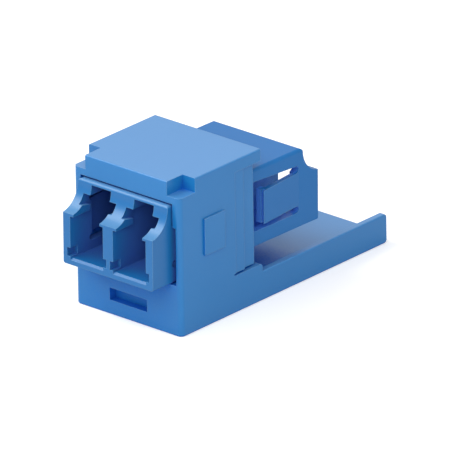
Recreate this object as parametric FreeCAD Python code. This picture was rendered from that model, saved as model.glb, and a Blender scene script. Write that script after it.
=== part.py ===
"""Snap-in faceplate module with a duplex LC fibre adapter.

The module is a moulded housing whose floor runs on behind it as a springy
release arm.  A duplex adapter slides into the housing's tunnel from behind.
The adapter is two moulded halves, welded back to back, with a pair of split
ceramic sleeves trapped between them, where the fibre ferrules meet.

Frame: X to the right along the front face, Y from the front to the back,
Z up.  The origin is under the middle of the whole part, on the surface that
it rests on.  Until place() shifts a finished piece, y = 0 is the housing's
front face, and the adapter lies level on the tunnel's floor.  seat() then
gives it the slight nose-up lean that its play in the tunnel allows.
All sizes are in millimetres.
"""
import FreeCAD, Part
import math
import os

V = FreeCAD.Vector

# ---------------------------------------------------------------- housing
HOUSING_SIDE_T = 1.06     # side walls beside the tunnel
ROOF_OVER = 2.85          # adapter's top to the top of the roof
ROOF_EAVE = 0.90          # how far the roof overhangs the collar's rear end
ROOF_T = 1.43             # depth of that overhanging slab
ARM_LEN = 34.42           # front face to the end of the release arm
ARM_WALL_H = 3.47         # height of the arm's side walls
ARM_WALL_T = 0.75         # their thickness
ARM_FLOOR_T = 1.10        # floor of the arm
ARM_SLOT_L = 3.65         # slot under the collar that frees the arm
ARM_SLOT_H = 0.25         # height of that slot
ARM_SHOULDER_L = 1.0      # how far the taller walls run on behind the collar
ARM_SHOULDER_H = 0.93     # how much taller those walls are
CHIN_WALL_T = 2.6         # front wall below the tunnel
TUNNEL_FLOOR_T = 1.33     # plate between the arm's slot and the adapter
COLLAR_L = 1.85           # length of the slimmer collar at the back
COLLAR_INSET = 0.35       # how far the collar steps in from the sides
STEP_L = 1.50             # length of the shallow step before the collar
STEP_INSET = 0.10
FRONT_EDGE_R = 0.60       # rounding of the two upright front corners
LONG_EDGE_R = 0.18        # rounding of the long outer edges
ARM_TIP_R = 0.45          # rounding of the arm's tip, seen from the side
SHOULDER_R = 0.45         # rounding at the end of the taller walls
ARM_INNER_R = 0.50        # rounding between the arm's floor and its walls

NOTCH_W = 1.80            # corner notches of the front face
NOTCH_D = 2.62
NOTCH_H = 1.67

RECESS_W = 5.45           # shallow recess in the chin
RECESS_H = 1.45
RECESS_D = 1.00
RECESS_Z = 1.72           # its lower edge

PAD_PROUD = 0.22          # raised pads over the catch pockets
PAD_MARGIN = 0.08         # pad beyond the channel, above and below
PAD_END_T = 0.55          # pad beyond the catch pocket's rear end

# ---------------------------------------------------------------- adapter
PORT_PITCH = 6.25         # between the two fibres of a duplex plug
FERRULE_R = 0.625         # radius of the ceramic ferrule in a plug
PLUG_SQ = 4.52            # side of the plug's square body
PLUG_CLEAR = 0.14         # each side of the plug in its port
PLUG_LIFT = 0.04          # under the plug

ADAPTER_SIDE_T = 1.015    # side walls beside the ports
ADAPTER_FRONT_Y = -3.20   # the front half stands proud of the housing
ADAPTER_LEN = 27.40       # port face to port face
ADAPTER_TILT = 0.75       # nose-up lean in the tunnel, in degrees
ADAPTER_FLOOR_T = 0.77    # under the plug
TOP_EDGE_R = 0.40         # upper edges
BOTTOM_EDGE_R = 0.25      # long lower edges
LIP_BEVEL = 0.22          # lead-in bevel at the mouth's floor

LEDGE_REACH = 0.47        # how far each ledge stands out from its wall
LEDGE_RISE = 0.64         # ledge top at the port face, over the plug
LEDGE_LEN = 2.90          # from the port face to the catch shoulder
LEDGE_SLOPE = 0.18        # fall of the ledge towards the catch
LEDGE_SEAT_T = 0.28       # ledge thickness at the port face
POCKET_RISE = 1.75        # ledge top to the roof of the latch pocket
POCKET_ROOF_T = 1.48      # roof over the pocket
SLOT_W = 2.85             # slot for the latch's back, in that roof
SLOT_END_T = 1.70         # solid roof behind the slot, in the port
ROOF_SKIN_T = 0.35        # what is left over that slot

SCOOP_R = 2.95            # hollow that clears the latch's finger tab
SCOOP_OUT = 0.45          # its centre, outside the port face
SCOOP_RISE = 2.93         # its centre, above the ledge top

FOOT_W = 0.47             # small keyways at the foot of each port wall
FOOT_H = 1.02
FOOT_D = 1.20
FOOT_Z = 0.18             # above the port floor

FINGER_H = 3.92           # side snap finger
FINGER_RISE = 1.52        # its middle, over the fibre axis
FINGER_T = 0.55
FINGER_ROOT = 3.20        # port face to the finger's root
FINGER_BOW = 0.62         # how far the free end springs out
FINGER_HEAD_T = 1.17      # thick head at the free end
FINGER_HEAD_L = 0.85
FINGER_LIP_T = 0.12       # outer lip of the head
FINGER_GROOVE_W = 0.34    # upright groove behind that lip
FINGER_GROOVE_D = 0.40
FINGER_SLOT = 0.82        # slot above and below the finger
WINDOW_RISE = 0.37        # the window grows towards the adapter's middle
WINDOW_END = 1.60         # clear length beyond the finger's free end
WINDOW_WALL_T = 2.40      # side wall from the window to the weld

PARTITION_T = 1.0         # wall at the back of each port
BARREL_WALL_T = 0.49      # tube that holds the sleeve
BARREL_LIP_T = 0.30       # lip that keeps the sleeve in
BARREL_LIP_CLEAR = 0.10   # narrow end of the lip's funnel, over the ferrule
BARREL_LEAD = 0.20        # how much wider the funnel's mouth is

SLEEVE_L = 6.80
SLEEVE_T = 0.19           # wall of the split sleeve
SLEEVE_SQUEEZE = 0.005    # the sleeve is this much tighter than a ferrule
SLEEVE_SPLIT = 0.35       # width of its split
SLEEVE_FLOAT = 0.05       # sleeve to its barrel, all round
SLEEVE_END_FLOAT = 0.05   # sleeve to each lip

PEG_R = 0.40              # locating pegs between the halves
PEG_L = 1.00
PEG_CLEAR = 0.05
PEG_RISE = 2.10           # upper peg over the fibre axis
PEG_DROP = 1.05           # lower peg under it

FLANGE_INSET = 1.54       # stop bars over and under the rear half, from its sides
FLANGE_L = 1.40
FLANGE_H = 0.60

# ---------------------------------------------------------------- fits
SIDE_CLEAR = 0.15         # adapter to tunnel, each side
TOP_CLEAR = 0.20          # raised front of the adapter to tunnel, above
FLANGE_CLEAR = 0.15       # stop bars in their pockets, above, below, beside
FLANGE_END_CLEAR = 0.05   # stop bars to the front of their pockets
CHANNEL_CLEAR = 0.12      # finger in its channel, above and below
CHANNEL_D = 0.43          # channel's depth beyond the tunnel's side
CATCH_L = 2.80            # deeper end of the channel, where the finger catches
CATCH_CLEAR = 0.15        # finger's free end to the end and the bottom of it
REBATE_W = 0.41           # shallow rebate beside the adapter's lower half
REBATE_D = 0.80
TAIL_CLEAR = 2.0          # collar's rear end to the rear snap fingers

# ---------------------------------------------------------------- derived
PORT_W = PLUG_SQ + 2 * PLUG_CLEAR
PORT_XS = (-PORT_PITCH / 2, PORT_PITCH / 2)
ADAPTER_W = PORT_PITCH + PORT_W + 2 * ADAPTER_SIDE_T
FLANGE_W = ADAPTER_W - 2 * FLANGE_INSET
HOUSING_W = ADAPTER_W + 2 * (SIDE_CLEAR + HOUSING_SIDE_T)

HALF_LEN = ADAPTER_LEN / 2
WELD_Y = ADAPTER_FRONT_Y + HALF_LEN
PORT_DEPTH = HALF_LEN - PARTITION_T
FINGER_L = HALF_LEN - FINGER_ROOT - WINDOW_END - WINDOW_WALL_T
CATCH_END_Y = ADAPTER_FRONT_Y + FINGER_ROOT + FINGER_L + CATCH_CLEAR
REAR_FINGER_Y = WELD_Y + WINDOW_WALL_T + WINDOW_END
COLLAR_END_Y = REAR_FINGER_Y - TAIL_CLEAR
COLLAR_Y = COLLAR_END_Y - COLLAR_L
ROOF_LEN = COLLAR_END_Y + ROOF_EAVE

ARM_SHOULDER_Z = ARM_WALL_H + ARM_SHOULDER_H
COLLAR_Z = ARM_SHOULDER_Z + ARM_SLOT_H
TUNNEL_FLOOR_Z = COLLAR_Z + TUNNEL_FLOOR_T
PORT_FLOOR_Z = TUNNEL_FLOOR_Z + ADAPTER_FLOOR_T
AXIS_Z = PORT_FLOOR_Z + PLUG_LIFT + PLUG_SQ / 2
LEDGE_Z = AXIS_Z + PLUG_SQ / 2 + LEDGE_RISE
FINGER_Z = AXIS_Z + FINGER_RISE
ADAPTER_TOP_Z = LEDGE_Z + POCKET_RISE + POCKET_ROOF_T
HOUSING_H = ADAPTER_TOP_Z + ROOF_OVER
COLLAR_TOP_Z = HOUSING_H - ROOF_T

BARREL_MOUTH_Y = WELD_Y - SLEEVE_L / 2 - SLEEVE_END_FLOAT - BARREL_LIP_T
SLEEVE_IN_R = FERRULE_R - SLEEVE_SQUEEZE
SLEEVE_OUT_R = SLEEVE_IN_R + SLEEVE_T
BARREL_R = SLEEVE_OUT_R + SLEEVE_FLOAT + BARREL_WALL_T
MIDDLE_Y = (ADAPTER_FRONT_Y + ARM_LEN) / 2

PAST = 1.0                # how far a cutting tool runs past a face
NEAR = 0.01               # two places this close are the same one
ALIGNED = 0.9             # least part of a direction that runs along an axis


def box(x0, x1, y0, y1, z0, z1):
    """Block between two corners."""
    return Part.makeBox(x1 - x0, y1 - y0, z1 - z0, V(x0, y0, z0))


def rod(radius, y0, y1, x, z):
    """Cylinder along Y."""
    return Part.makeCylinder(radius, y1 - y0, V(x, y0, z), V(0, 1, 0))


def side_prism(points, x0, x1):
    """Outline of (y, z) points, extruded from x0 to x1."""
    corners = [V(x0, y, z) for y, z in points]
    face = Part.Face(Part.makePolygon(corners + corners[:1]))
    return face.extrude(V(x1 - x0, 0, 0))


def plan_prism(points, z0, z1):
    """Outline of (x, y) points, extruded from z0 to z1."""
    corners = [V(x, y, z0) for x, y in points]
    face = Part.Face(Part.makePolygon(corners + corners[:1]))
    return face.extrude(V(0, 0, z1 - z0))


def edges_where(shape, test):
    """Straight edges of a shape whose middle and direction pass a test."""
    found = []
    for edge in shape.Edges:
        if isinstance(edge.Curve, Part.Line):
            start, end = (vertex.Point for vertex in edge.Vertexes)
            if test((start + end) / 2, (end - start).normalize()):
                found.append(edge)
    return found


def mirrored_pair(shape):
    """A shape and its mirror image across the middle, x = 0."""
    return [shape, shape.mirror(V(0, 0, 0), V(1, 0, 0))]


def seat_lift(y):
    """How far seat() raises the adapter at one place along it."""
    return (COLLAR_END_Y - y) * math.sin(math.radians(ADAPTER_TILT))


def seat(shape):
    """Lean a piece of the adapter about the rear edge of the tunnel's floor."""
    shape.rotate(V(0, COLLAR_END_Y, TUNNEL_FLOOR_Z), V(1, 0, 0), -ADAPTER_TILT)
    return shape


def place(shape):
    """Move a finished piece into the part's own frame."""
    shape.translate(V(0, -MIDDLE_Y, 0))
    return shape


# ---------------------------------------------------------------- housing
def housing_blank():
    """Side outline of block, collar and arm, with its outer edges rounded."""
    shoulder_y = COLLAR_END_Y + ARM_SHOULDER_L
    outline = [
        (0, 0),
        (ARM_LEN, 0),
        (ARM_LEN, ARM_WALL_H),
        (shoulder_y, ARM_WALL_H),
        (shoulder_y, ARM_SHOULDER_Z),
        (COLLAR_END_Y - ARM_SLOT_L, ARM_SHOULDER_Z),
        (COLLAR_END_Y - ARM_SLOT_L, COLLAR_Z),
        (COLLAR_END_Y, COLLAR_Z),
        (COLLAR_END_Y, COLLAR_TOP_Z),
        (ROOF_LEN, COLLAR_TOP_Z),
        (ROOF_LEN, HOUSING_H),
        (0, HOUSING_H),
    ]
    half = HOUSING_W / 2
    blank = side_prism(outline, -half, half)
    tip = edges_where(blank, lambda m, d: abs(d.x) > ALIGNED and m.y > ARM_LEN - NEAR)
    blank = blank.makeFillet(ARM_TIP_R, tip)
    shoulder = edges_where(blank, lambda m, d: abs(d.x) > ALIGNED
                           and abs(m.y - shoulder_y) < NEAR
                           and abs(m.z - ARM_SHOULDER_Z) < NEAR)
    blank = blank.makeFillet(SHOULDER_R, shoulder)
    fronts = edges_where(blank, lambda m, d: abs(d.z) > ALIGNED and m.y < NEAR)
    blank = blank.makeFillet(FRONT_EDGE_R, fronts)
    walls = edges_where(blank, lambda m, d: abs(d.y) > ALIGNED
                        and (abs(m.z - ARM_WALL_H) < NEAR or m.z > HOUSING_H - NEAR))
    return blank.makeFillet(LONG_EDGE_R, walls)


def housing_side_cuts():
    """Steps of the collar and corner notches, on both sides."""
    half = HOUSING_W / 2
    collar = box(half - COLLAR_INSET, half + PAST, COLLAR_Y, COLLAR_END_Y + PAST,
                 COLLAR_Z, COLLAR_TOP_Z)
    step = box(half - STEP_INSET, half + PAST, COLLAR_Y - STEP_L, COLLAR_Y + PAST,
               COLLAR_Z, COLLAR_TOP_Z)
    notch = box(half - NOTCH_W, half + PAST, -PAST, NOTCH_D,
                HOUSING_H - NOTCH_H, HOUSING_H + PAST)
    return mirrored_pair(collar) + mirrored_pair(step) + mirrored_pair(notch)


def channel_heights():
    """Lower and upper side of the channels for the front snap fingers."""
    middle = FINGER_Z + seat_lift(ADAPTER_FRONT_Y + FINGER_ROOT + FINGER_L / 2)
    reach = FINGER_H / 2 + CHANNEL_CLEAR
    return middle - reach, middle + reach


def tunnel_cuts():
    """Tunnel for the adapter, its finger channels and stop-bar pockets."""
    half = ADAPTER_W / 2 + SIDE_CLEAR
    top = ADAPTER_TOP_Z + seat_lift(0) + TOP_CLEAR
    cuts = [box(-half, half, -PAST, ROOF_LEN + PAST, TUNNEL_FLOOR_Z, top)]

    low, high = channel_heights()
    channel = box(half, half + CHANNEL_D, -PAST, CATCH_END_Y, low, high)
    catch = box(half, ADAPTER_W / 2 + FINGER_BOW + CATCH_CLEAR, CATCH_END_Y - CATCH_L,
                CATCH_END_Y, low, high)
    rebate = box(half, half + REBATE_W, -PAST, REBATE_D, TUNNEL_FLOOR_Z, low)
    for cut in (channel, catch, rebate):
        cuts += mirrored_pair(cut)

    bar = FLANGE_W / 2 + FLANGE_CLEAR
    reach = FLANGE_H + FLANGE_CLEAR
    cuts.append(box(-bar, bar, WELD_Y - FLANGE_END_CLEAR, ROOF_LEN + PAST,
                    TUNNEL_FLOOR_Z - reach, ADAPTER_TOP_Z + reach))
    return cuts


def arm_channel():
    """Hollow of the arm, run forward under the tunnel to the front wall."""
    half = HOUSING_W / 2 - ARM_WALL_T
    hollow = box(-half, half, CHIN_WALL_T, ARM_LEN + PAST, ARM_FLOOR_T, COLLAR_Z)
    corners = edges_where(hollow, lambda m, d: abs(d.y) > ALIGNED and m.z < ARM_FLOOR_T + NEAR)
    return hollow.makeFillet(ARM_INNER_R, corners)


def chin_recess():
    """Shallow recess in the front of the chin."""
    half = RECESS_W / 2
    return box(-half, half, -PAST, RECESS_D, RECESS_Z, RECESS_Z + RECESS_H)


def side_pads():
    """Raised pads that thicken the side walls over the catch pockets."""
    half = HOUSING_W / 2
    low, high = channel_heights()
    pad = box(half - PAD_PROUD, half + PAD_PROUD, CATCH_END_Y - CATCH_L, CATCH_END_Y + PAD_END_T,
              low - PAD_MARGIN, high + PAD_MARGIN)
    return mirrored_pair(pad)


def make_housing():
    """One moulding: front block, tunnel, collar and release arm."""
    body = housing_blank().fuse(side_pads())
    cuts = housing_side_cuts() + tunnel_cuts() + [arm_channel(), chin_recess()]
    return body.cut(cuts).removeSplitter()


# ---------------------------------------------------------------- adapter
def half_blank():
    """Half of the adapter's outside, from the port face to the weld.

    A round hollow across the top of the port face clears a latch's finger tab.
    """
    half = ADAPTER_W / 2
    bar = box(-half, half, ADAPTER_FRONT_Y, WELD_Y, TUNNEL_FLOOR_Z, ADAPTER_TOP_Z)
    start = V(-half - PAST, ADAPTER_FRONT_Y - SCOOP_OUT, LEDGE_Z + SCOOP_RISE)
    bar = bar.cut(Part.makeCylinder(SCOOP_R, ADAPTER_W + 2 * PAST, start, V(1, 0, 0)))
    top = edges_where(bar, lambda m, d: m.z > ADAPTER_TOP_Z - NEAR and m.y < WELD_Y - NEAR)
    bar = bar.makeFillet(TOP_EDGE_R, top)
    bottom = edges_where(bar, lambda m, d: abs(d.y) > ALIGNED and m.z < TUNNEL_FLOOR_Z + NEAR)
    return bar.makeFillet(BOTTOM_EDGE_R, bottom)


def ledges(x):
    """Pair of ledges that a plug's latch snaps behind, in one port."""
    y0 = ADAPTER_FRONT_Y
    under = LEDGE_Z - LEDGE_SEAT_T
    half_way = SCOOP_OUT + LEDGE_LEN / 2
    crest = LEDGE_Z + SCOOP_RISE - math.sqrt(SCOOP_R ** 2 - half_way ** 2)
    outline = [
        (y0, under),
        (y0, crest),
        (y0 + LEDGE_LEN / 2, crest),
        (y0 + LEDGE_LEN, crest - LEDGE_SLOPE * LEDGE_LEN / 2),
        (y0 + LEDGE_LEN, under),
    ]
    wall, tip = PORT_W / 2, PORT_W / 2 - LEDGE_REACH
    return [side_prism(outline, x + a, x + b) for a, b in ((-wall, -tip), (tip, wall))]


def port_void(x):
    """Everything that one port cuts away, with its ledges left standing."""
    y0 = ADAPTER_FRONT_Y
    half, slot = PORT_W / 2, SLOT_W / 2
    void = box(x - half, x + half, y0 - PAST, y0 + PORT_DEPTH, PORT_FLOOR_Z,
               LEDGE_Z + POCKET_RISE)
    void = void.fuse([
        box(x - slot, x + slot, y0 - PAST, y0 + PORT_DEPTH - SLOT_END_T, PORT_FLOOR_Z,
            ADAPTER_TOP_Z - ROOF_SKIN_T),
        box(x - half - FOOT_W, x + half + FOOT_W, y0 - PAST, y0 + FOOT_D,
            PORT_FLOOR_Z + FOOT_Z, PORT_FLOOR_Z + FOOT_Z + FOOT_H),
        side_prism([(y0 - PAST, PORT_FLOOR_Z - LIP_BEVEL - PAST),
                    (y0 + LIP_BEVEL, PORT_FLOOR_Z),
                    (y0 - PAST, PORT_FLOOR_Z)], x - half, x + half),
    ])
    return void.cut(ledges(x))


def sleeve_barrel(x):
    """Tube on the back wall of a port that holds one end of a sleeve."""
    return rod(BARREL_R, BARREL_MOUTH_Y, WELD_Y - PARTITION_T, x, AXIS_Z)


def sleeve_void(x):
    """Bore for the sleeve, behind a funnel that leads the ferrule in past the lip."""
    narrow = FERRULE_R + BARREL_LIP_CLEAR
    mouth = V(x, BARREL_MOUTH_Y, AXIS_Z)
    return [
        Part.makeCone(narrow + BARREL_LEAD, narrow, BARREL_LIP_T, mouth, V(0, 1, 0)),
        rod(SLEEVE_OUT_R + SLEEVE_FLOAT, BARREL_MOUTH_Y + BARREL_LIP_T, WELD_Y + PAST, x, AXIS_Z),
    ]


def finger_window():
    """Window in the right side wall, around a snap finger."""
    root = ADAPTER_FRONT_Y + FINGER_ROOT
    end = root + FINGER_L + WINDOW_END
    r = FINGER_SLOT / 2
    low = FINGER_Z - FINGER_H / 2 - FINGER_SLOT
    high = FINGER_Z + FINGER_H / 2 + FINGER_SLOT
    x0, x1 = PORT_PITCH / 2, ADAPTER_W / 2 + PAST
    opening = side_prism([(root + r, low), (end, low), (end, high + WINDOW_RISE),
                          (root + r, high)], x0, x1)
    ends = [Part.makeCylinder(r, x1 - x0, V(x0, root + r, z), V(1, 0, 0))
            for z in (low + r, high - r)]
    return opening.fuse(ends)


def snap_finger():
    """Springy finger on the right, bowed out, with a thick grooved head."""
    root = ADAPTER_FRONT_Y + FINGER_ROOT
    tip = root + FINGER_L
    head = tip - FINGER_HEAD_L
    face = ADAPTER_W / 2
    out = face + FINGER_BOW
    bow_at_head = FINGER_BOW * (FINGER_L - FINGER_HEAD_L) / FINGER_L
    lip = out - FINGER_LIP_T
    groove = lip - FINGER_GROOVE_W
    outline = [
        (face, root),
        (out, tip),
        (lip, tip),
        (lip, tip - FINGER_GROOVE_D),
        (groove, tip - FINGER_GROOVE_D),
        (groove, tip),
        (out - FINGER_HEAD_T, tip),
        (out - FINGER_HEAD_T, head),
        (face + bow_at_head - FINGER_T, head),
        (face - FINGER_T, root + FINGER_SLOT),
        (face - FINGER_T, root),
    ]
    return plan_prism(outline, FINGER_Z - FINGER_H / 2, FINGER_Z + FINGER_H / 2)


def make_half():
    """One half of the adapter, built with its ports to the front."""
    body = half_blank()
    body = body.cut([port_void(x) for x in PORT_XS])
    body = body.cut(mirrored_pair(finger_window()))
    body = body.fuse([sleeve_barrel(x) for x in PORT_XS])
    body = body.fuse(mirrored_pair(snap_finger()))
    return body.cut([void for x in PORT_XS for void in sleeve_void(x)])


def pegs(radius, y0, y1):
    """Pair of rods midway between the ports, under and over the fibre axis."""
    return [rod(radius, y0, y1, 0, AXIS_Z + rise) for rise in (-PEG_DROP, PEG_RISE)]


def make_front_body():
    """Front half of the adapter, with the locating pegs."""
    body = make_half().fuse(pegs(PEG_R, WELD_Y - PARTITION_T / 2, WELD_Y + PEG_L))
    return body.removeSplitter()


def make_rear_body():
    """Rear half: the same moulding turned round, with peg holes and stop bars."""
    body = make_half().mirror(V(0, WELD_Y, 0), V(0, 1, 0))
    half = FLANGE_W / 2
    bars = [box(-half, half, WELD_Y, WELD_Y + FLANGE_L, z - FLANGE_H, z + FLANGE_H)
            for z in (TUNNEL_FLOOR_Z, ADAPTER_TOP_Z)]
    holes = pegs(PEG_R + PEG_CLEAR, WELD_Y - PAST, WELD_Y + PEG_L + PEG_CLEAR)
    return body.fuse(bars).cut(holes).removeSplitter()


def make_sleeve(x):
    """Split ceramic sleeve that lines up two ferrules, open at the top."""
    y0, y1 = WELD_Y - SLEEVE_L / 2, WELD_Y + SLEEVE_L / 2
    tube = rod(SLEEVE_OUT_R, y0, y1, x, AXIS_Z)
    tube = tube.cut(rod(SLEEVE_IN_R, y0 - PAST, y1 + PAST, x, AXIS_Z))
    half = SLEEVE_SPLIT / 2
    return tube.cut(box(x - half, x + half, y0 - PAST, y1 + PAST, AXIS_Z,
                        AXIS_Z + SLEEVE_OUT_R + PAST))


def main():
    """Build every piece and write one STEP file for each."""
    os.makedirs("parts", exist_ok=True)
    pieces = {
        "module_housing": make_housing(),
        "adapter_front_body": seat(make_front_body()),
        "adapter_rear_body": seat(make_rear_body()),
        "left_split_sleeve": seat(make_sleeve(PORT_XS[0])),
        "right_split_sleeve": seat(make_sleeve(PORT_XS[1])),
    }
    for name, shape in pieces.items():
        place(shape).exportStep("parts/" + name + ".step")
        print(name, len(shape.Solids), "solid", shape.isValid(), round(shape.Volume, 2), "mm3")


main()
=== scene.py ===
"""Looks of a snap-in LC fibre adapter module: moulded blue plastic and ceramic sleeves.

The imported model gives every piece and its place.  This script dresses the
pieces in procedural finishes, puts them on a pale studio floor under soft
light, and sets the camera.  Lengths are in metres, in the model's own frame.
"""

import logging
import math
from dataclasses import dataclass, field, replace
from enum import Enum

import bmesh
import bpy
from mathutils import Matrix, Quaternion, Vector


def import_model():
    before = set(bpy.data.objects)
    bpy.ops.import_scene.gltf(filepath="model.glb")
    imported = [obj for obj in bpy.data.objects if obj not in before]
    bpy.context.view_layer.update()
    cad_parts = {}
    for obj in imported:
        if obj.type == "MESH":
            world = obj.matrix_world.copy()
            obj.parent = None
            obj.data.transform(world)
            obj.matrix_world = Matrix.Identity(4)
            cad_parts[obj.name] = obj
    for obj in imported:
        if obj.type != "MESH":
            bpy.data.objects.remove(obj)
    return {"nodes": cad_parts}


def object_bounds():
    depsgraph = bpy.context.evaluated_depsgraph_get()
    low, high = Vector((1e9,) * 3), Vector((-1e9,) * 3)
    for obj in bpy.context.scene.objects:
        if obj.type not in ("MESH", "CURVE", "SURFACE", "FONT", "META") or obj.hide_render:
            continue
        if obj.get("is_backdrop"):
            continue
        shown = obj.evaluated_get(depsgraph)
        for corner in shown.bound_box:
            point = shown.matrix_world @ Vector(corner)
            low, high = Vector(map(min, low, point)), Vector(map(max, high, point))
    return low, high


MM = 0.001
MIX_FIRST, MIX_SECOND, MIX_RESULT = 6, 7, 2     # the Mix node's colour sockets

CLOUD_SHARE = 0.6                       # of the flow pattern; streaks are the rest
CLOUD_TWIST = 0.6                       # how much the clouds are bent
STREAK_RATIO = 3.0                      # streak scale over cloud scale
STREAK_STRETCH = (1.0, 0.18, 0.6)       # long streaks, front to back
GRAIN_SCALE = 6500.0                    # grains of the mould's wall, per metre
GRAIN_DEPTH = 0.02 * MM
CLOUD_GLOSS = 0.16                      # spread of roughness from the flow
GRAIN_GLOSS = 0.06                      # and from the grain
EDGE_LOOK = 2.0                         # edge radii searched for an inner corner
EDGE_SHUT, EDGE_OPEN = 0.60, 0.92       # openness of an inner corner and an outer edge
LEVEL_LOW, LEVEL_HIGH = 0.25, 0.95      # upward slant where painted top light starts and is full
WHITE = (1.0, 1.0, 1.0, 1.0)

Colour = tuple[float, float, float, float]
log = logging.getLogger("scene")


class Group(Enum):
    """Shader effects that more than one finish uses."""

    FLOW = "moulded_flow"
    EDGE = "softened_edge"
    OPEN = "open_face"


def linear(red: int, green: int, blue: int) -> Colour:
    """Turn an 8-bit display colour into a linear shader colour.

    Args:
        red: Red, 0 to 255.
        green: Green, 0 to 255.
        blue: Blue, 0 to 255.

    Returns:
        The colour as linear red, green, blue and alpha.
    """
    def one(value: int) -> float:
        """Linear value of one 8-bit channel."""
        share = value / 255
        return share / 12.92 if share <= 0.04045 else ((share + 0.055) / 1.055) ** 2.4

    return one(red), one(green), one(blue), 1.0


@dataclass
class Graph:
    """A node tree, with short calls to add, set and link its nodes."""

    tree: bpy.types.NodeTree

    def add(self, kind: str, **settings: object) -> bpy.types.Node:
        """Add a node.

        Args:
            kind: Node type, without its ShaderNode prefix.
            **settings: Properties to set on the node.

        Returns:
            The new node.
        """
        name = kind if kind.startswith("NodeGroup") else "ShaderNode" + kind
        node = self.tree.nodes.new(name)
        for key, value in settings.items():
            setattr(node, key, value)
        return node

    def put(self, node: bpy.types.Node, socket: str | int, value: object) -> None:
        """Set an input's value, or link it if the value is an output socket."""
        if isinstance(value, bpy.types.NodeSocket):
            self.tree.links.new(value, node.inputs[socket])
        else:
            node.inputs[socket].default_value = value

    def math(self, operation: str, *values: object, clamp: bool = False) -> bpy.types.NodeSocket:
        """Add a Math node and return its result.

        Args:
            operation: The node's operation.
            *values: Its inputs in order, as numbers or output sockets.
            clamp: Whether the result is held between 0 and 1.

        Returns:
            The node's output socket.
        """
        node = self.add("Math", operation=operation, use_clamp=clamp)
        for index, value in enumerate(values):
            self.put(node, index, value)
        return node.outputs[0]

    def noise(self, place: bpy.types.NodeSocket, scale: object, detail: float) -> bpy.types.NodeSocket:
        """Add a Noise Texture and return its value, about 0 to 1."""
        node = self.add("TexNoise")
        self.put(node, "Vector", place)
        self.put(node, "Scale", scale)
        self.put(node, "Detail", detail)
        return node.outputs["Fac"]

    def mix(self, share: object, first: object, second: object) -> bpy.types.NodeSocket:
        """Blend two colours and return the result."""
        node = self.add("Mix", data_type="RGBA")
        self.put(node, "Factor", share)
        self.put(node, MIX_FIRST, first)
        self.put(node, MIX_SECOND, second)
        return node.outputs[MIX_RESULT]

    def group(self, kind: Group, **values: object) -> bpy.types.NodeOutputs:
        """Place a shared effect in this tree.

        Args:
            kind: Which effect.
            **values: Its inputs by name, as numbers, colours or output sockets.

        Returns:
            The placed effect's outputs.
        """
        node = self.add("Group", node_tree=bpy.data.node_groups[kind.value])
        for socket, value in values.items():
            self.put(node, socket, value)
        return node.outputs

    def ramp(self, value: object, low: object, high: object) -> bpy.types.NodeSocket:
        """Rise smoothly from 0 at low to 1 at high, and return the result."""
        node = self.add("MapRange", interpolation_type="SMOOTHSTEP")
        self.put(node, "Value", value)
        self.put(node, "From Min", low)
        self.put(node, "From Max", high)
        return node.outputs[0]

    def openness(self, distance: object, samples: int) -> bpy.types.NodeSocket:
        """How open a point's surroundings are within a distance, 0 to 1."""
        node = self.add("AmbientOcclusion", samples=samples)
        self.put(node, "Distance", distance)
        return node.outputs["AO"]

    def looked_at(self) -> bpy.types.NodeSocket:
        """1 where a camera, mirror or glass ray lands, and 0 for other light."""
        seen = self.add("LightPath").outputs
        mirrored = self.math("ADD", seen["Is Camera Ray"], seen["Is Glossy Ray"])
        return self.math("ADD", mirrored, seen["Is Transmission Ray"], clamp=True)

    def centred(self, value: object, spread: float) -> bpy.types.NodeSocket:
        """Turn 0 to 1 into a spread that is centred on 0."""
        return self.math("MULTIPLY_ADD", value, spread, -spread / 2)


def new_group(
    kind: Group, inputs: dict[str, str], outputs: dict[str, str]
) -> tuple[Graph, bpy.types.NodeOutputs, bpy.types.Node]:
    """Make an empty shader node group with named sockets.

    Args:
        kind: Which shared effect it is.
        inputs: Socket name to socket type.
        outputs: Socket name to socket type.

    Returns:
        Its graph, its input node's outputs and its output node.
    """
    tree = bpy.data.node_groups.new(kind.value, "ShaderNodeTree")
    for name, socket in inputs.items():
        tree.interface.new_socket(name=name, in_out="INPUT", socket_type=socket)
    for name, socket in outputs.items():
        tree.interface.new_socket(name=name, in_out="OUTPUT", socket_type=socket)
    graph = Graph(tree)
    return graph, graph.add("NodeGroupInput").outputs, graph.add("NodeGroupOutput")


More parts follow.
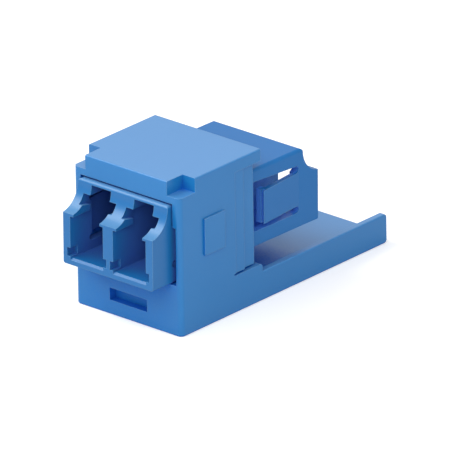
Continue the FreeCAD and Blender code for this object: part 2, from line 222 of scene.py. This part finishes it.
def build_flow_group() -> None:
    """Build the look of a moulded skin: faint flow clouds and a fine grain.

    Its Scale is in features per metre.  Clouds drift the colour and the gloss
    a little, and Height holds the grain of the mould's wall.
    """
    graph, inside, out = new_group(
        Group.FLOW,
        {"Base": "NodeSocketColor", "Pale": "NodeSocketColor", "Drift": "NodeSocketFloat",
         "Scale": "NodeSocketFloat", "Gloss": "NodeSocketFloat"},
        {"Color": "NodeSocketColor", "Roughness": "NodeSocketFloat", "Height": "NodeSocketFloat"},
    )
    place = graph.add("TexCoord").outputs["Object"]
    clouds = graph.noise(place, inside["Scale"], detail=3.0)
    graph.put(clouds.node, "Distortion", CLOUD_TWIST)
    grain = graph.noise(place, GRAIN_SCALE, detail=2.0)
    stretch = graph.add("Mapping")
    graph.put(stretch, "Vector", place)
    graph.put(stretch, "Scale", STREAK_STRETCH)
    streak_scale = graph.math("MULTIPLY", inside["Scale"], STREAK_RATIO)
    streaks = graph.noise(stretch.outputs[0], streak_scale, detail=4.0)

    clouds_part = graph.math("MULTIPLY", clouds, CLOUD_SHARE)
    cloud = graph.math("MULTIPLY_ADD", streaks, 1.0 - CLOUD_SHARE, clouds_part)
    share = graph.math("MULTIPLY", cloud, inside["Drift"], clamp=True)
    graph.put(out, "Color", graph.mix(share, inside["Base"], inside["Pale"]))
    wobble = graph.math("ADD", graph.centred(cloud, CLOUD_GLOSS), graph.centred(grain, GRAIN_GLOSS))
    graph.put(out, "Roughness", graph.math("ADD", inside["Gloss"], wobble, clamp=True))
    graph.put(out, "Height", grain)


def build_edge_group() -> None:
    """Build softened edges: a rounded normal and a mask that is 1 on an outer edge.

    Both outer and inner corners are rounded.  Close surroundings are open at an
    outer edge and half shut in an inner corner, so the mask leaves those out.
    """
    graph, inside, out = new_group(
        Group.EDGE,
        {"Radius": "NodeSocketFloat", "Gain": "NodeSocketFloat"},
        {"Normal": "NodeSocketVector", "Mask": "NodeSocketFloat"},
    )
    bevel = graph.add("Bevel", samples=6)
    graph.put(bevel, "Radius", inside["Radius"])
    dot = graph.add("VectorMath", operation="DOT_PRODUCT")
    graph.put(dot, 0, bevel.outputs[0])
    graph.put(dot, 1, graph.add("NewGeometry").outputs["Normal"])
    turned = graph.math("SUBTRACT", 1.0, dot.outputs["Value"])
    near = graph.openness(graph.math("MULTIPLY", inside["Radius"], EDGE_LOOK), samples=6)
    line = graph.math("MULTIPLY", turned, inside["Gain"], clamp=True)
    graph.put(out, "Mask", graph.math("MULTIPLY", line, graph.ramp(near, EDGE_SHUT, EDGE_OPEN)))
    graph.put(out, "Normal", bevel.outputs[0])


def build_open_group() -> None:
    """Build a mask that is 1 on open outer faces and 0 deep in hollows."""
    graph, inside, out = new_group(
        Group.OPEN,
        {"Reach": "NodeSocketFloat", "Shut": "NodeSocketFloat", "Open": "NodeSocketFloat"},
        {"Mask": "NodeSocketFloat"},
    )
    around = graph.openness(inside["Reach"], samples=8)
    graph.put(out, "Mask", graph.ramp(around, inside["Shut"], inside["Open"]))


@dataclass(frozen=True)
class Finish:
    """A moulded or fired surface: its colours, gloss, grain and soft edges.

    base drifts to pale, outer edges and upward faces take a painted highlight, and hollows take a
    painted tone that stands in for their light and shade.
    """

    name: str
    base: Colour
    pale: Colour
    # colour painted in hollows, standing in for the light and shade there
    painted_hollow_tone: Colour
    # painted highlight: the colour of outer edges, and of upward faces that take painted top light
    painted_highlight: Colour
    roughness: float
    specular: float
    drift: float = 0.5
    cloud_scale: float = 160.0
    grain: float = 0.05
    edge_radius: float = 0.12 * MM
    edge_gain: float = 4.0
    # share of the painted highlight on outer edges
    edge_highlight_share: float = 0.55
    coat: float = 0.5
    coat_roughness: float = 0.30
    ior: float = 1.5
    # share of painted top light on faces that look up
    painted_top_light: float = 0.0
    painted_top_light_height: float = 9.0 * MM
    reach: float = 25.0 * MM
    shut: float = 0.17
    open: float = 0.40

    def build(self) -> bpy.types.Material:
        """Make the material.

        Returns:
            A material of procedural nodes, ready to assign.
        """
        material = bpy.data.materials.new(self.name)
        material.use_nodes = True
        graph = Graph(material.node_tree)
        shader = material.node_tree.nodes["Principled BSDF"]

        flow = graph.group(Group.FLOW, Base=self.base, Pale=self.pale, Drift=self.drift,
                           Scale=self.cloud_scale, Gloss=self.roughness)
        edge = graph.group(Group.EDGE, Radius=self.edge_radius, Gain=self.edge_gain)
        clear = graph.group(Group.OPEN, Reach=self.reach, Shut=self.shut, Open=self.open)["Mask"]

        # Outer edges take a painted highlight.
        share = graph.math("MULTIPLY", edge["Mask"], self.edge_highlight_share)
        outside = graph.mix(share, flow["Color"], self.painted_highlight)
        # Upward faces above a height are painted lighter, as top light.
        if self.painted_top_light:
            outside = graph.mix(self.painted_top_light_mask(graph), outside, self.painted_highlight)
        bump = graph.add("Bump")
        graph.put(bump, "Strength", self.grain)
        graph.put(bump, "Distance", GRAIN_DEPTH)
        graph.put(bump, "Height", flow["Height"])
        graph.put(bump, "Normal", edge["Normal"])

        # Hollows take the painted hollow tone, which stands in for their light and shade.
        graph.put(shader, "Base Color", graph.mix(clear, self.painted_hollow_tone, outside))
        graph.put(shader, "Roughness", flow["Roughness"])
        graph.put(shader, "Normal", bump.outputs[0])
        graph.put(shader, "Specular IOR Level", self.specular)
        graph.put(shader, "IOR", self.ior)
        graph.put(shader, "Coat Weight", graph.math("MULTIPLY", clear, self.coat))
        graph.put(shader, "Coat Roughness", self.coat_roughness)
        return material

    def painted_top_light_mask(self, graph: Graph) -> bpy.types.NodeSocket:
        """Build a mask of the faces above a height that look up, which get painted top light.

        Args:
            graph: The material's node tree.

        Returns:
            The mask's output socket.
        """
        faces = graph.add("SeparateXYZ")
        graph.put(faces, 0, graph.add("NewGeometry").outputs["Normal"])
        place = graph.add("SeparateXYZ")
        graph.put(place, 0, graph.add("TexCoord").outputs["Object"])
        up = graph.ramp(faces.outputs["Z"], LEVEL_LOW, LEVEL_HIGH)
        high = graph.math("GREATER_THAN", place.outputs["Z"], self.painted_top_light_height)
        return graph.math("MULTIPLY", graph.math("MULTIPLY", up, high), self.painted_top_light)


@dataclass
class Housing:
    """The snap-in housing and its release arm, one moulding of blue plastic."""

    node: str = "module_housing"
    finish: Finish = Finish(
        name="housing_blue",
        base=linear(14, 104, 166),
        pale=linear(40, 120, 181),
        # painted shade in the housing's hollows
        painted_hollow_tone=linear(26, 98, 188),
        # painted highlight on the housing's edges and upward faces
        painted_highlight=linear(122, 164, 206),
        roughness=0.50,
        specular=0.0,
        drift=0.40,
        coat=0.82,
        coat_roughness=0.34,
        shut=0.24,
        open=0.50,
        # painted top light on the housing's upward faces
        painted_top_light=0.24,
        painted_top_light_height=0.5 * MM,
    )

    def dress(self, nodes: dict[str, bpy.types.Object]) -> None:
        """Give the housing its finish."""
        paint(nodes[self.node], self.finish.build())


@dataclass
class Adapter:
    """The duplex adapter: two welded mouldings and the sleeves inside them."""

    bodies: tuple[str, ...] = ("adapter_front_body", "adapter_rear_body")
    sleeves: tuple[str, ...] = ("left_split_sleeve", "right_split_sleeve")
    plastic: Finish = Finish(
        name="adapter_blue",
        base=linear(18, 95, 154),
        pale=linear(40, 109, 167),
        # painted tone in the adapter's hollows, standing in for their light and shade
        painted_hollow_tone=linear(56, 94, 168),
        # painted highlight on the adapter's edges and upward faces
        painted_highlight=linear(126, 172, 204),
        roughness=0.45,
        specular=0.0,
        drift=0.35,
        coat=0.66,
        coat_roughness=0.30,
        cloud_scale=220.0,
        edge_radius=0.10 * MM,
    )
    # painted top light on the front half's ledges
    front_painted_top_light: float = 0.30
    rear_base: Colour = linear(10, 98, 164)
    # painted light: the rear half's hollows, those behind its side windows too, are painted lighter
    rear_painted_hollow_light: Colour = linear(84, 140, 230)
    rear_coat: float = 0.50
    ceramic: Finish = Finish(
        name="sleeve_ceramic",
        base=linear(226, 224, 214),
        pale=linear(246, 245, 240),
        # painted shade in the sleeves' hollows, darker than the base
        painted_hollow_tone=linear(206, 202, 190),
        # painted highlight on the sleeves' edges
        painted_highlight=linear(250, 250, 248),
        roughness=0.16,
        specular=0.55,
        drift=0.5,
        cloud_scale=900.0,
        grain=0.02,
        edge_radius=0.04 * MM,
        coat=0.3,
        coat_roughness=0.08,
        ior=2.1,
    )

    def dress(self, nodes: dict[str, bpy.types.Object]) -> None:
        """Give both halves and both sleeves their finishes.

        The front half has painted top light on its ledges, and the rear half has painted
        light in its hollows, those behind its side windows too, and a weaker coat.
        """
        front, rear = self.bodies
        painted_top_lit = replace(self.plastic, name="adapter_blue_front_painted_light", painted_top_light=self.front_painted_top_light)
        windowed = replace(self.plastic, name="adapter_blue_painted_window_light", base=self.rear_base,
                           painted_hollow_tone=self.rear_painted_hollow_light, coat=self.rear_coat)
        paint(nodes[front], painted_top_lit.build())
        paint(nodes[rear], windowed.build())
        ceramic = self.ceramic.build()
        for name in self.sleeves:
            paint(nodes[name], ceramic)


def paint(thing: bpy.types.Object, material: bpy.types.Material) -> None:
    """Put a material in every slot of an object.

    Args:
        thing: A mesh object.
        material: The material for it.
    """
    if not thing.material_slots:
        thing.data.materials.append(material)
    for place in thing.material_slots:
        place.material = material
    log.info("%s: %s", thing.name, material.name)


@dataclass(frozen=True)
class SoftBox:
    """A square area light that looks at the object.  Angles are in degrees, power in watts."""

    name: str
    azimuth: float
    elevation: float
    distance: float
    side: float
    power: float

    def build(self, centre: Vector) -> None:
        """Put the light in its place around a centre.

        Args:
            centre: The point that it looks at.
        """
        data = bpy.data.lights.new(self.name, "AREA")
        data.shape = "SQUARE"
        data.size = self.side
        data.energy = self.power
        lamp = bpy.data.objects.new(self.name, data)
        away = direction(self.azimuth, self.elevation)
        lamp.location = centre + away * self.distance
        lamp.rotation_mode = "QUATERNION"
        lamp.rotation_quaternion = away.to_track_quat("Z", "Y")
        bpy.context.scene.collection.objects.link(lamp)


@dataclass
class Studio:
    """The pale floor, the soft lights and the white surroundings."""

    floor_side: float = 3.0
    floor_drop: float = 0.02 * MM
    floor_shade: float = 0.80
    floor_glow: float = 0.30
    world_light: float = 0.42
    boxes: tuple[SoftBox, ...] = (
        SoftBox("key", azimuth=22.0, elevation=42.0, distance=0.16, side=0.16, power=0.195),
        SoftBox("fill", azimuth=100.0, elevation=32.0, distance=0.5, side=0.40, power=0.70),
        SoftBox("left", azimuth=-58.0, elevation=48.0, distance=0.5, side=0.32, power=1.7),
        SoftBox("sheen", azimuth=-138.0, elevation=24.0, distance=0.5, side=0.35, power=0.12),
    )

    def floor_material(self) -> bpy.types.Material:
        """Make a floor that looks white, and still takes the object's shadow."""
        material = bpy.data.materials.new("studio_floor")
        material.use_nodes = True
        graph = Graph(material.node_tree)
        material.node_tree.nodes.clear()
        matt = graph.add("BsdfDiffuse")
        graph.put(matt, "Color", (self.floor_shade,) * 3 + (1.0,))
        glow = graph.add("Emission")
        graph.put(glow, "Strength", graph.math("MULTIPLY", graph.looked_at(), self.floor_glow))
        total = graph.add("AddShader")
        graph.put(total, 0, matt.outputs[0])
        graph.put(total, 1, glow.outputs[0])
        graph.put(graph.add("OutputMaterial"), "Surface", total.outputs[0])
        return material

    def build_floor(self) -> None:
        """Lay the floor a hair below height 0, so it never coincides with the object."""
        shell = bmesh.new()
        bmesh.ops.create_grid(shell, x_segments=1, y_segments=1, size=self.floor_side / 2)
        mesh = bpy.data.meshes.new("studio_floor")
        shell.to_mesh(mesh)
        shell.free()
        mesh.transform(Matrix.Translation((0.0, 0.0, -self.floor_drop)))
        floor = bpy.data.objects.new("studio_floor", mesh)
        floor.data.materials.append(self.floor_material())
        bpy.context.scene.collection.objects.link(floor)
        floor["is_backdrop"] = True

    def build_world(self) -> None:
        """Surround it with white to look at, and a plain level of light on the object."""
        world = bpy.data.worlds.new("studio")
        world.use_nodes = True
        bpy.context.scene.world = world
        graph = Graph(world.node_tree)
        rest = 1.0 - self.world_light
        level = graph.math("MULTIPLY_ADD", graph.looked_at(), rest, self.world_light)
        back = world.node_tree.nodes["Background"]
        graph.put(back, "Color", WHITE)
        graph.put(back, "Strength", level)

    def build(self, centre: Vector) -> None:
        """Build the floor, the surroundings and the lights around a centre."""
        self.build_floor()
        self.build_world()
        for box in self.boxes:
            box.build(centre)
        bpy.context.scene.view_settings.view_transform = "Standard"


@dataclass
class ViewCamera:
    """A long lens that looks down on the front right corner."""

    azimuth: float = 41.72
    elevation: float = 22.99
    roll: float = -0.97
    distance: float = 1.3163
    lens: float = 962.5                 # focal length in the camera's own millimetres
    near: float = 0.05
    far: float = 10.0
    offset: Vector = field(default_factory=lambda: Vector((5.33, -5.50, 0.41)) * MM)

    def build(self, centre: Vector) -> None:
        """Make the scene's camera.

        Args:
            centre: The middle of the object, which the aim is offset from.
        """
        data = bpy.data.cameras.new("view")
        data.lens = self.lens
        data.clip_start = self.near
        data.clip_end = self.far
        camera = bpy.data.objects.new("view", data)
        back = direction(self.azimuth, self.elevation)
        camera.location = centre + self.offset + back * self.distance
        camera.rotation_mode = "QUATERNION"
        turn = Quaternion((0.0, 0.0, 1.0), math.radians(self.roll))
        camera.rotation_quaternion = (-back).to_track_quat("-Z", "Y") @ turn
        bpy.context.scene.collection.objects.link(camera)
        bpy.context.scene.camera = camera


def direction(azimuth: float, elevation: float) -> Vector:
    """Unit vector from the object towards a viewpoint.

    Args:
        azimuth: Degrees round from the front, positive to the right.
        elevation: Degrees above the floor.

    Returns:
        The unit vector.
    """
    turn, rise = math.radians(azimuth), math.radians(elevation)
    level = math.cos(rise)
    return Vector((math.sin(turn) * level, -math.cos(turn) * level, math.sin(rise)))


def main() -> None:
    """Dress the pieces, and set the studio and the camera around the object's middle."""
    logging.basicConfig(level=logging.INFO, format="%(message)s")
    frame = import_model()
    low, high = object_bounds()
    centre = (low + high) / 2
    build_flow_group()
    build_edge_group()
    build_open_group()
    Housing().dress(frame["nodes"])
    Adapter().dress(frame["nodes"])
    Studio().build(centre)
    ViewCamera().build(centre)


if __name__ == "__main__":
    main()
